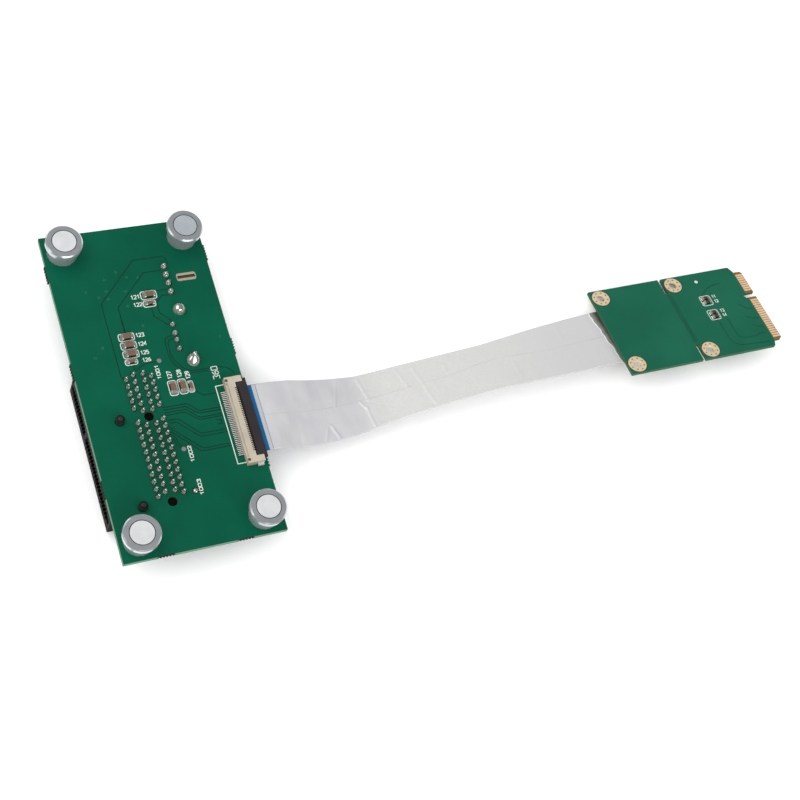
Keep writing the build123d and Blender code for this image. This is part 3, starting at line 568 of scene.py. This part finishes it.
# painted highlight: a thin white line along the torn edge
silver = foil.mix(foil.near(past, 0.0, 0.16, 0.08), silver, shade(252, 252, 252))
film = foil.mix(foil.span(along, 0.2, 0.3), shade(16, 104, 160), shade(196, 201, 204))
seam = foil.near(along, 1.28, 0.07, 0.06)
start = foil.mix(foil.span(along, 1.2, 1.3), film, silver)
foil.set(Base_Color=foil.mix(foil.math("MULTIPLY", seam, 0.7), start, shade(120, 124, 132)))
foil.set(Roughness=foil.span(fine, 0.3, 0.7, 0.36, 0.5))
height = foil.math("ADD", foil.math("MULTIPLY", dents, 2.0), foil.math("MULTIPLY", fine, 0.1))
foil.bump(foil.math("MULTIPLY", height, foil.span(along, 1.4, 4.0)), 0.0003, 0.5)
ribbon.data.materials.append(foil.material)

# Finishes of the CAD nodes
SIDE_STUBS = (34.6, 6.6, -25.4)
FRONT_STUBS = (-10.3, 10.1)
# stubs on the rims that get painted shade: axis, middle and half length
painted_stub_shade = [(1, row, 2.3) for row in SIDE_STUBS] + [(0, row, 2.1) for row in FRONT_STUBS]
board_green = lacquered(
    "board_lacquer", board, shade(2, 91, 67), shade(1, 82, 59), shade(118, 156, 130),
    ((-20.6, 20.6), (-44.6, 44.6)), painted_stub_shade,
)
card_green = lacquered(
    "card_lacquer", card, shade(28, 101, 78), shade(22, 93, 70), shade(70, 112, 86),
    ((0.5, 47.0), (-8.5, 8.5)), bare_from=48.2,
)
black_plastic = plastic("slot_plastic", shade(14, 13, 13), 0.55, gloss=0.06)
socket_plastic = plastic("socket_plastic", shade(190, 180, 162), 0.5)
latch_plastic = plastic("latch_plastic", shade(54, 48, 50), 0.45, gloss=0.2)
stiffener_blue = plastic("stiffener_film", shade(16, 104, 160), 0.4, 0.000003, 0.1)
header_plastic = plastic("header_plastic", shade(226, 220, 204), 0.5)
tin = metal("tin", shade(255, 255, 250), 0.1, metallic=0.86, wear=0.05)
cap_tin = metal("cap_tin", shade(236, 232, 222), 0.2, metallic=0.8)
lead_tin = metal("lead_tin", shade(235, 235, 230), 0.35, metallic=0.3)
dull_tin = metal("dull_tin", shade(150, 146, 150), 0.5, metallic=0.4)
nickel = metal("nickel", shade(190, 194, 198), 0.28)
brown_steel = metal("brown_steel", shade(104, 84, 58), 0.55, metallic=0.5)
gold = metal("gold", shade(206, 160, 88), 0.3)
peach_gold = metal("finger_gold", shade(240, 208, 169), 0.4, metallic=0.2)
pad_gold = metal("pad_gold", shade(238, 220, 182), 0.4, metallic=0.3)


def ceramic(name, light, dark, side):
    """Fired chip body: mottled on its top face, with painted shade on its cut sides."""
    s = Shader(name, Specular_IOR_Level=0.3, Roughness=0.5)
    facing = s.nodes.new("ShaderNodeNewGeometry").outputs["True Normal"]
    unshaded_top = s.span(s.along((0, 0, 1), facing), 0.6, 0.8)
    # painted shade: the cut sides get the darker side colour
    s.set(Base_Color=s.mix(unshaded_top, side, s.mix(s.noise(1500, 2), light, dark)))
    s.bump(s.noise(5000, 2), 0.000006)
    return s.material


# the last colour of each chip body is painted shade on its cut sides
board_ceramic = ceramic("board_ceramic", shade(126, 102, 82), shade(102, 80, 62), shade(56, 40, 30))
card_ceramic = ceramic("card_ceramic", shade(92, 72, 58), shade(56, 42, 34), shade(36, 28, 24))

FEET = {"left_back": (-16, 40), "right_back": (16, 40), "left_front": (-16, -40), "right_front": (16, -40)}
dress(board_green, "main_board")
dress(card_green, "mini_card")
dress(black_plastic, "slot_housing", "usb_block")
dress(header_plastic, "power_header")
dress(socket_plastic, "board_socket_housing", "card_socket_housing")
dress(latch_plastic, "board_socket_latch", "card_socket_latch")
dress(stiffener_blue, "ribbon_stiffener_board", "ribbon_stiffener_card")
for place, foot in FEET.items():
    dress(turned(f"cup_{place}", shade(224, 229, 232), foot, 0.18, 0.68), f"foot_cup_{place}")
    grey = shade(192, 200, 206) if place == "right_back" else shade(240, 241, 242)
    dress(turned(f"magnet_{place}", grey, foot, 0.5, 0.3), f"foot_magnet_{place}")
dress(nickel, "usb_shell", *[f"foot_screw_{place}" for place in FEET])
dress(lead_tin, "board_socket_contacts", "card_socket_contacts", "board_socket_tabs", "card_socket_tabs")
dress(tin, "power_pins")
dress(dull_tin, "test_pads")
dress(brown_steel, "power_hold_down")
dress(gold, "slot_contacts", "usb_contacts")
dress(peach_gold, "card_fingers_upper", "card_fingers_lower")
dress(pad_gold, "card_hole_pads")
dress(board_ceramic, *[f"{place}_capacitor_bodies" for place in ("power", "supply", "slot")])
dress(card_ceramic, "card_capacitor_bodies")

# Solder joints, turned about each pin and sagging a little to one side
PIN_COLUMNS = [(-8.6, 0), (-6.6, 1), (-4.1, 1), (-2.1, 0)]
PIN_ONE_Y = 2.9
PINS_BEFORE_KEY = 11
PEG_X = -12.9
PEG_ROWS = (-8.75, -31.9)
KEY_JUMP = 2.0
USB_PINS = [(7.0, 8.2), (7.0, 10.7), (7.0, 12.7), (7.0, 15.2)]
POWER_PINS = [(9.0, 24.55), (9.0, 27.05), (9.0, 29.55), (9.0, 32.05)]
seeded = Random(4)


def pin_y(count):
    return PIN_ONE_Y - (count - 1) - (KEY_JUMP if count > PINS_BEFORE_KEY else 0)


def joint(bm, x, y, base, top, tip):
    """Solder swollen round a pin, with the pin's blunt end standing out of it."""
    size = seeded.uniform(0.94, 1.06)
    lean = (seeded.uniform(-0.03, 0.03), seeded.uniform(-0.03, 0.03))
    swell = [(1.0, 0.0), (1.0, 0.14), (0.95, 0.34), (0.84, 0.53), (0.68, 0.69), (0.5, 0.79)]
    profile = [(base * size * r, h) for r, h in swell]
    profile += [(tip * 1.1, 0.88), (tip, top * 0.93), (tip * 0.75, top * 0.985), (0, top)]
    lathe(bm, x, y, profile, lean)


pin_spots = [(x, pin_y(n)) for x, odd in PIN_COLUMNS for n in range(1, 33) if n % 2 == odd]
joints = bmesh.new()
for x, y in pin_spots:
    joint(joints, x, y, 0.6, 1.96, 0.29)
bump = [(0.66, 0.06), (0.62, 0.25), (0.48, 0.45), (0.25, 0.56), (0, 0.58)]
lathe(joints, 0.95, -30.35, bump)
add_piece("slot_joints", joints, board, tin, ["slot_solder"])
joints = bmesh.new()
for x, y in POWER_PINS:
    joint(joints, x, y, 0.8, 1.35, 0.42)
add_piece("power_joints", joints, board, tin, ["power_solder"])
joints = bmesh.new()
for x, y in USB_PINS:
    joint(joints, x, y, 0.68, 1.3, 0.28)
dome = [(1.66, 0), (1.66, 0.2), (1.58, 0.7), (1.36, 1.2), (1.05, 1.6), (0.7, 1.86), (0.3, 1.98), (0, 2.0)]
lathe(joints, 9.85, 19.1, dome, (-0.05, 0.0), 24)
drop = [
    (1.7, 0), (1.7, 0.2), (1.58, 0.6), (1.3, 1.05), (0.95, 1.45),
    (0.66, 1.8), (0.5, 2.2), (0.42, 2.5), (0, 2.62),
]
lathe(joints, 9.75, 4.3, drop, (0.12, 0.42), 24)
add_piece("usb_joints", joints, board, tin, ["usb_solder"])

# Rings of painted shade round the joints, on the board about their feet
rings = bmesh.new()
for x, y in pin_spots:
    disc(rings, x, y, 0.76, 0.02, 0.6)
for x, y in USB_PINS:
    disc(rings, x, y, 0.84, 0.02, 0.6)
for x, y in POWER_PINS:
    disc(rings, x, y, 0.94, 0.02, 0.7)
disc(rings, 0.95, -30.35, 0.85, 0.02, 0.6)
add_piece("joint_shade_rings", rings, board, plastic("joint_shadow", shade(12, 34, 26), 0.4))

# Solder caps of the chips, each with a fillet down to the board
BOARD_CHIPS = [
    (3.15, 24.5, 2.9, 1.45, 0.95, 0),
    (2.75, 22.05, 2.3, 0.9, 0.8, 0),
    (-5.5, 13.65, 2.9, 1.45, 0.95, 0),
    (-5.5, 11.2, 2.9, 1.45, 0.95, 0),
    (-5.5, 8.75, 2.9, 1.45, 0.95, 0),
    (-5.95, 6.65, 2.3, 0.9, 0.8, 0),
    (2.55, -2.3, 2.9, 1.45, 0.95, 1),
    (5.1, -2.3, 2.9, 1.45, 0.95, 1),
    (7.15, -2.75, 2.3, 0.9, 0.8, 1),
]
CARD_CHIPS = [(34.5, row, 2.2, 0.95, 0.55, 0) for row in (5.35, 3.85, -0.05, -1.55)]
CAP_DEPTH = 0.48


def chip_caps(chips):
    """Both end caps of each chip: a rounded cap and its solder fillet, narrower at the foot."""
    bm = bmesh.new()
    for x, y, length, width, height, turned_over in chips:
        end, inner = length / 2, length / 2 - CAP_DEPTH
        for side in (-1, 1):
            outline = [
                (inner, 0), (end + 0.24, 0), (end + 0.1, 0.2 * height), (end + 0.02, 0.6 * height),
                (end, height - 0.06), (end - 0.08, height + 0.04), (inner, height + 0.04),
            ]
            loops = []
            edge, crown = width / 2 + 0.05, width / 2 - 0.02
            for half, pull in ((-edge, 0.06), (-crown, 0), (crown, 0), (edge, 0.06)):
                corners = []
                for along, up in outline:
                    along = inner + (along - inner) * (1 - pull)
                    spot = (side * along, half, max(0, up - pull * up))
                    if turned_over:
                        spot = (-spot[1], spot[0], spot[2])
                    corners.append(bm.verts.new((x + spot[0], y + spot[1], spot[2])))
                loops.append(corners)
            for one, two in zip(loops, loops[1:]):
                for i in range(len(outline)):
                    j = (i + 1) % len(outline)
                    bm.faces.new((one[i], one[j], two[j], two[i]))
            bm.faces.new(loops[0])
            bm.faces.new(loops[-1])
    return bm


board_caps = ["power_capacitor_ends", "supply_capacitor_ends", "slot_capacitor_ends"]
add_piece("chip_caps", chip_caps(BOARD_CHIPS), board, cap_tin, board_caps)
add_piece("card_chip_caps", chip_caps(CARD_CHIPS), card, cap_tin, ["card_capacitor_ends"])

# Copper runs under the lacquer of the main board, as darker lines
TRACES = [
    [(10.3, 32.6), (10.1, 34.7), (9.7, 35.1), (1.5, 35.1), (-9.4, 24.1), (-9.6, 23.6), (-9.6, 3.1),
     (-9.1, 2.4)],
    [(8.1, 31.1), (3.3, 31.1), (-5.4, 22.4), (-5.6, 21.8), (-5.6, 18.6)],
    [(5.2, 25.4), (8.0, 25.4)],
    [(8.2, 23.8), (6.3, 23.8), (4.6, 22.0), (4.6, 19.0), (7.2, 16.3)],
    [(2.9, 21.0), (2.9, 18.4), (6.0, 15.2)],
    [(0.4, 5.6), (-1.8, 5.7), (-3.6, 5.2), (-5, 4.4), (-6.4, 3.4)],
    [(-5.7, 6.1), (-5.7, 4.3)],
    [(6.0, 12.2), (4.8, 12.0), (4.1, 11.4), (3.8, 10.3), (3.8, 7.0), (4.3, 4.6), (5.5, 2.9), (7.3, 1.3),
     (8.0, 1.0), (12.9, 0.9)],
    [(6.2, 11.3), (5.2, 11.2), (4.5, 10.2), (4.4, 7.0), (5.0, 5.0), (6.1, 3.3), (7.4, 2.0), (8.6, 1.55),
     (12.9, 1.5), (15.4, 1.45), (17.5, 1.0), (18.8, -0.1), (19.4, -1.3)],
    [(-1.4, -7.1), (4.8, -7.1), (5.4, -7.5), (7.2, -9.3), (7.8, -9.6), (13.2, -9.6)],
    [(-1.4, -7.8), (4.4, -7.8), (6.9, -10.0), (7.6, -10.25), (13.2, -10.25)],
    [(-1.4, -8.6), (4.2, -8.6), (6.7, -11.0), (7.4, -11.4), (13.2, -11.4)],
    [(-1.4, -9.3), (3.8, -9.3), (6.5, -11.6), (7.2, -12), (13.2, -12)],
    [(-0.9, -10.7), (1.3, -10.7), (2, -11.1), (5.8, -15.1), (6.5, -15.7), (13.2, -15.7)],
    [(-0.7, -11.5), (1, -11.5), (5.3, -15.8), (6.2, -16.5), (13.2, -16.5)],
    [(-1, -12.8), (5.3, -19.2), (6, -19.7), (13.2, -19.7)],
    [(-1.1, -13.7), (4.7, -19.8), (5.5, -20.4), (13.2, -20.4)],
    [(-1.1, -14.8), (-0.2, -15.8), (0, -17), (0.6, -18.1)],
    [(-1.1, -15.6), (-0.7, -16.2), (-0.5, -17.5), (0.2, -18.5)],
    [(7.9, -3.9), (9.7, -5.6), (13.2, -5.6)],
    [(11.1, -12.9), (12.4, -12.9), (12.4, -14.0), (11.1, -14.0)],
]
TRACE_TOP = 0.02
copper = bmesh.new()
for points in TRACES:
    line(copper, points, 0.24, TRACE_TOP)
line(copper, [(-5.6, 18.6), (-5.6, 15)], 0.42, TRACE_TOP)
add_piece("copper_runs", copper, board, plastic("run_lacquer", shade(2, 60, 44), 0.35))
vias = bmesh.new()
for _ in range(34):
    x, y = seeded.uniform(-19, 19), seeded.uniform(-36, 37)
    if not (-16 < x < 12 and y < 4) and not (5 < x < 17 and y > 3) and abs(x + 5.5) > 0.9:
        disc(vias, x, y, 0.42, 0.012, 0.16)
add_piece("buried_vias", vias, board, plastic("via_lacquer", shade(18, 104, 76), 0.35))

# White print: frames round the parts, and plain numbers beside them
PRINT_WIDTH = 0.24
PRINT_TOP = 0.03
FRAMES = [
    (0.95, 5.1, 23.35, 25.65), (1.05, 4.3, 21.15, 22.95), (-7.6, -3.55, 12.65, 14.7),
    (-7.6, -3.55, 10.2, 12.25), (-7.6, -3.55, 7.75, 9.8), (-7.6, -4.4, 5.85, 7.4),
    (1.5, 3.6, -4.35, -0.25), (4.05, 6.15, -4.35, -0.25), (6.4, 7.9, -4.3, -1.15),
]
NUMBERS = [
    ("121", -1.8, 0.7, 23.95, 24.95, True), ("122", -1.6, 0.8, 21.75, 22.7, True),
    ("123", -3.2, -0.9, 13.25, 14.2, True), ("124", -3.2, -0.9, 10.75, 11.7, True),
    ("125", -3.2, -0.9, 8.25, 9.2, True), ("126", -3.2, -0.9, 6.15, 7.1, True),
    ("127", 2.05, 3.05, 0.2, 2.5, False), ("128", 4.6, 5.6, 0.2, 2.5, False),
    ("129", 6.65, 7.65, -0.6, 1.7, False),
    ("360", 13.6, 15.2, -2.0, 1.8, False), ("1001", -0.5, 0.3, 0.6, 4.8, False),
    ("1002", 2.0, 2.8, -22.9, -18.3, False), ("1003", 2.0, 2.8, -31.8, -27.4, False),
]
NUMBER_WIDTH = 0.21
print_white = plastic("print_white", shade(222, 228, 222), 0.6)
printed = bmesh.new()
for box in FRAMES:
    line(printed, rounded(*box, 0.5), PRINT_WIDTH, PRINT_TOP, closed=True)
for text, x0, x1, y0, y1, upright in NUMBERS:
    number(printed, text, x0, x1, y0, y1, NUMBER_WIDTH, PRINT_TOP, upright)
line(printed, [(15.6, -3.75), (13.4, -3.85), (13.35, -25.6), (15.6, -25.6)], PRINT_WIDTH, PRINT_TOP)
add_piece("board_print", printed, board, print_white)

# Plated slot of the power header's tab
plating = bmesh.new()
tab_x, tab_y = 14.2, 28.3
slot_box = (tab_x - 2.5, tab_x + 2.5, tab_y - 0.98, tab_y + 0.98)
line(plating, rounded(*slot_box, 0.45), 0.26, 0.05, closed=True)
line(plating, [(tab_x - 2.45, tab_y + 0.72), (tab_x + 2.45, tab_y + 0.72)], 0.62, 0.03)
line(plating, [(tab_x - 2.45, tab_y - 0.72), (tab_x + 2.45, tab_y - 0.72)], 0.62, 0.03)
add_piece("tab_plating", plating, board, metal("plating", shade(186, 178, 158), 0.45, metallic=0.3))
# The slot's locating pegs, rounded where they stand out of the board, in painted light: a lighter grey
# than the slot's own black plastic
pegs = bmesh.new()
peg_top = [(1.13, 0.03), (1.13, 1.5), (1.02, 1.8), (0.78, 1.97), (0.4, 2.04), (0, 2.05)]
for y in PEG_ROWS:
    lathe(pegs, PEG_X, y, peg_top, sides=24)
add_piece("peg_tops", pegs, board, plastic("peg_plastic_painted_light", shade(46, 45, 48), 0.36, gloss=0.5))

# The ribbon's socket: the shadows in the comb beside its latch and under its contacts' tails
WAYS = 36
WAY_PITCH = 0.5
SOCKET_TOP = 2.0
combs = bmesh.new()
for i in range(WAYS):
    y = SOCKET_Y + WAY_PITCH * (i - (WAYS - 1) / 2)
    tile(combs, 17.62, 18.22, y - 0.12, y + 0.12, SOCKET_TOP - 0.01, SOCKET_TOP + 0.015)
tile(combs, 14.25, 15.5, SOCKET_Y - 9.1, SOCKET_Y + 9.1, 0, 0.015)
add_piece("comb_shadows", combs, board, plastic("comb_shadow", shade(26, 32, 30), 0.5, gloss=0.1))
# Painted shade in the recesses at the back corners of the ribbon's socket: flat dark discs on its top
recesses = bmesh.new()
for y in (-3.6, -25.7):
    lathe(recesses, 15.95, y, [(0.42, SOCKET_TOP), (0.42, SOCKET_TOP + 0.02), (0, SOCKET_TOP + 0.02)])
add_piece("socket_recess_shade", recesses, board, plastic("recess_shadow", shade(92, 74, 56), 0.6))

# Mini card: print, runs, the dot that marks its first part, and the plating and vias of its holes
CARD_HOLES = [(x, side * 12.1) for x in (2.9, 27.05) for side in (-1, 1)]
CARD_TRACES = [
    [(37.8, -2.9), (37.9, -8.6), (38.2, -9.8), (39.4, -10.4), (43.3, -10.6), (45.3, -10.0), (47.0, -10.0)],
    [(34.7, -3.4), (34.8, -10.3), (35.5, -11.6), (37.0, -12.6), (44.2, -13.2), (47.0, -13.2)],
    [(34.3, 7.0), (37.1, 8.9), (39.2, 9.7), (42.0, 9.9)],
    [(43.9, 1.4), (45.6, -0.6), (47.6, -1.0)], [(43.9, -3.2), (45.6, -4.4), (47.6, -4.6)],
    [(44.4, -6.4), (45.9, -7.6), (47.6, -7.8)],
]
printed = bmesh.new()
for x0, y0 in ((32.8, 2.85), (32.65, -2.45)):
    line(printed, rounded(x0, x0 + 3.4, y0, y0 + 3.5, 0.5), 0.2, PRINT_TOP, closed=True)
for text, y in (("11", 5.15), ("12", 3.45), ("13", -0.2), ("14", -1.85)):
    number(printed, text, 36.9, 38.3, y, y + 0.95, NUMBER_WIDTH, PRINT_TOP)
disc(printed, 34.9, 11.85, 0.55, PRINT_TOP)
add_piece("card_print", printed, card, print_white)
copper = bmesh.new()
disc(copper, 34.9, 11.85, 0.92, TRACE_TOP, 0.6)
for points in CARD_TRACES:
    line(copper, points, 0.24, TRACE_TOP)
add_piece("card_runs", copper, card, plastic("card_run_lacquer", shade(16, 83, 62), 0.35))
rims = bmesh.new()
for x, y in CARD_HOLES:
    disc(rims, x, y, 2.92, TRACE_TOP, 2.6)
add_piece("hole_rims", rims, card, plastic("rim_shadow", shade(66, 62, 34), 0.5))
band = bmesh.new()
line(band, [(24.15, -8.6), (24.15, 9.0)], 1.45, TRACE_TOP)
add_piece("card_band", band, card, plastic("band_lacquer", shade(18, 90, 68), 0.35))
plating = bmesh.new()
for x, y in CARD_HOLES:
    lathe(plating, x, y, [(1.34, 0.07), (1.24, 0.07), (1.24, -1.07), (1.34, -1.07)], sides=32)
add_piece("hole_plating", plating, card, pad_gold)
vias = bmesh.new()
for x, y in CARD_HOLES:
    for i in range(8):
        turn = pi * (i + 0.5) / 4
        disc(vias, x + 1.98 * cos(turn), y + 1.98 * sin(turn), 0.24, 0.065)
add_piece("hole_vias", vias, card, plastic("via_copper", shade(168, 104, 74), 0.5))

def add_floor():
    data = bpy.data.meshes.new("floor")
    size = 1.5
    low = -0.0002
    corners = [(-size, -size, low), (size, -size, low), (size, size, low), (-size, size, low)]
    data.from_pydata(corners, [], [(0, 1, 2, 3)])
    floor = bpy.data.objects.new("floor", data)
    scene.collection.objects.link(floor)
    s = Shader("floor", Roughness=0.9)
    s.set(Base_Color=s.mix(s.noise(3), (0.97, 0.97, 0.97, 1), (0.95, 0.95, 0.955, 1)))
    data.materials.append(s.material)


def add_area(name, place, target, size, power):
    """Soft box light that faces the target."""
    data = bpy.data.lights.new(name, "AREA")
    data.shape = "RECTANGLE"
    data.size, data.size_y = size
    data.energy = power
    light = bpy.data.objects.new(name, data)
    scene.collection.objects.link(light)
    light.location = place
    light.rotation_euler = (Vector(target) - Vector(place)).to_track_quat("-Z", "Y").to_euler()


add_floor()
add_area("key", (-0.60, 0.28, 0.72), (0, 0, 0), (1.25, 1.0), 6.0)
add_area("fill", (0.12, -0.80, 0.60), (0, 0, 0), (0.9, 0.45), 3.6)

# the walls of the light tent are bright for soft light, and dark where gloss mirrors the camera's side
world = bpy.data.worlds.new("studio")
scene.world = world
world.use_nodes = True
tent = world.node_tree
strength = tent.nodes.new("ShaderNodeMapRange")
strength.inputs["To Min"].default_value = 1.0
strength.inputs["To Max"].default_value = 0.07
tent.links.new(tent.nodes.new("ShaderNodeLightPath").outputs["Is Glossy Ray"], strength.inputs["Value"])
tent.links.new(strength.outputs["Result"], tent.nodes["Background"].inputs["Strength"])
tent.nodes["Background"].inputs["Color"].default_value = (1, 1, 1, 1)
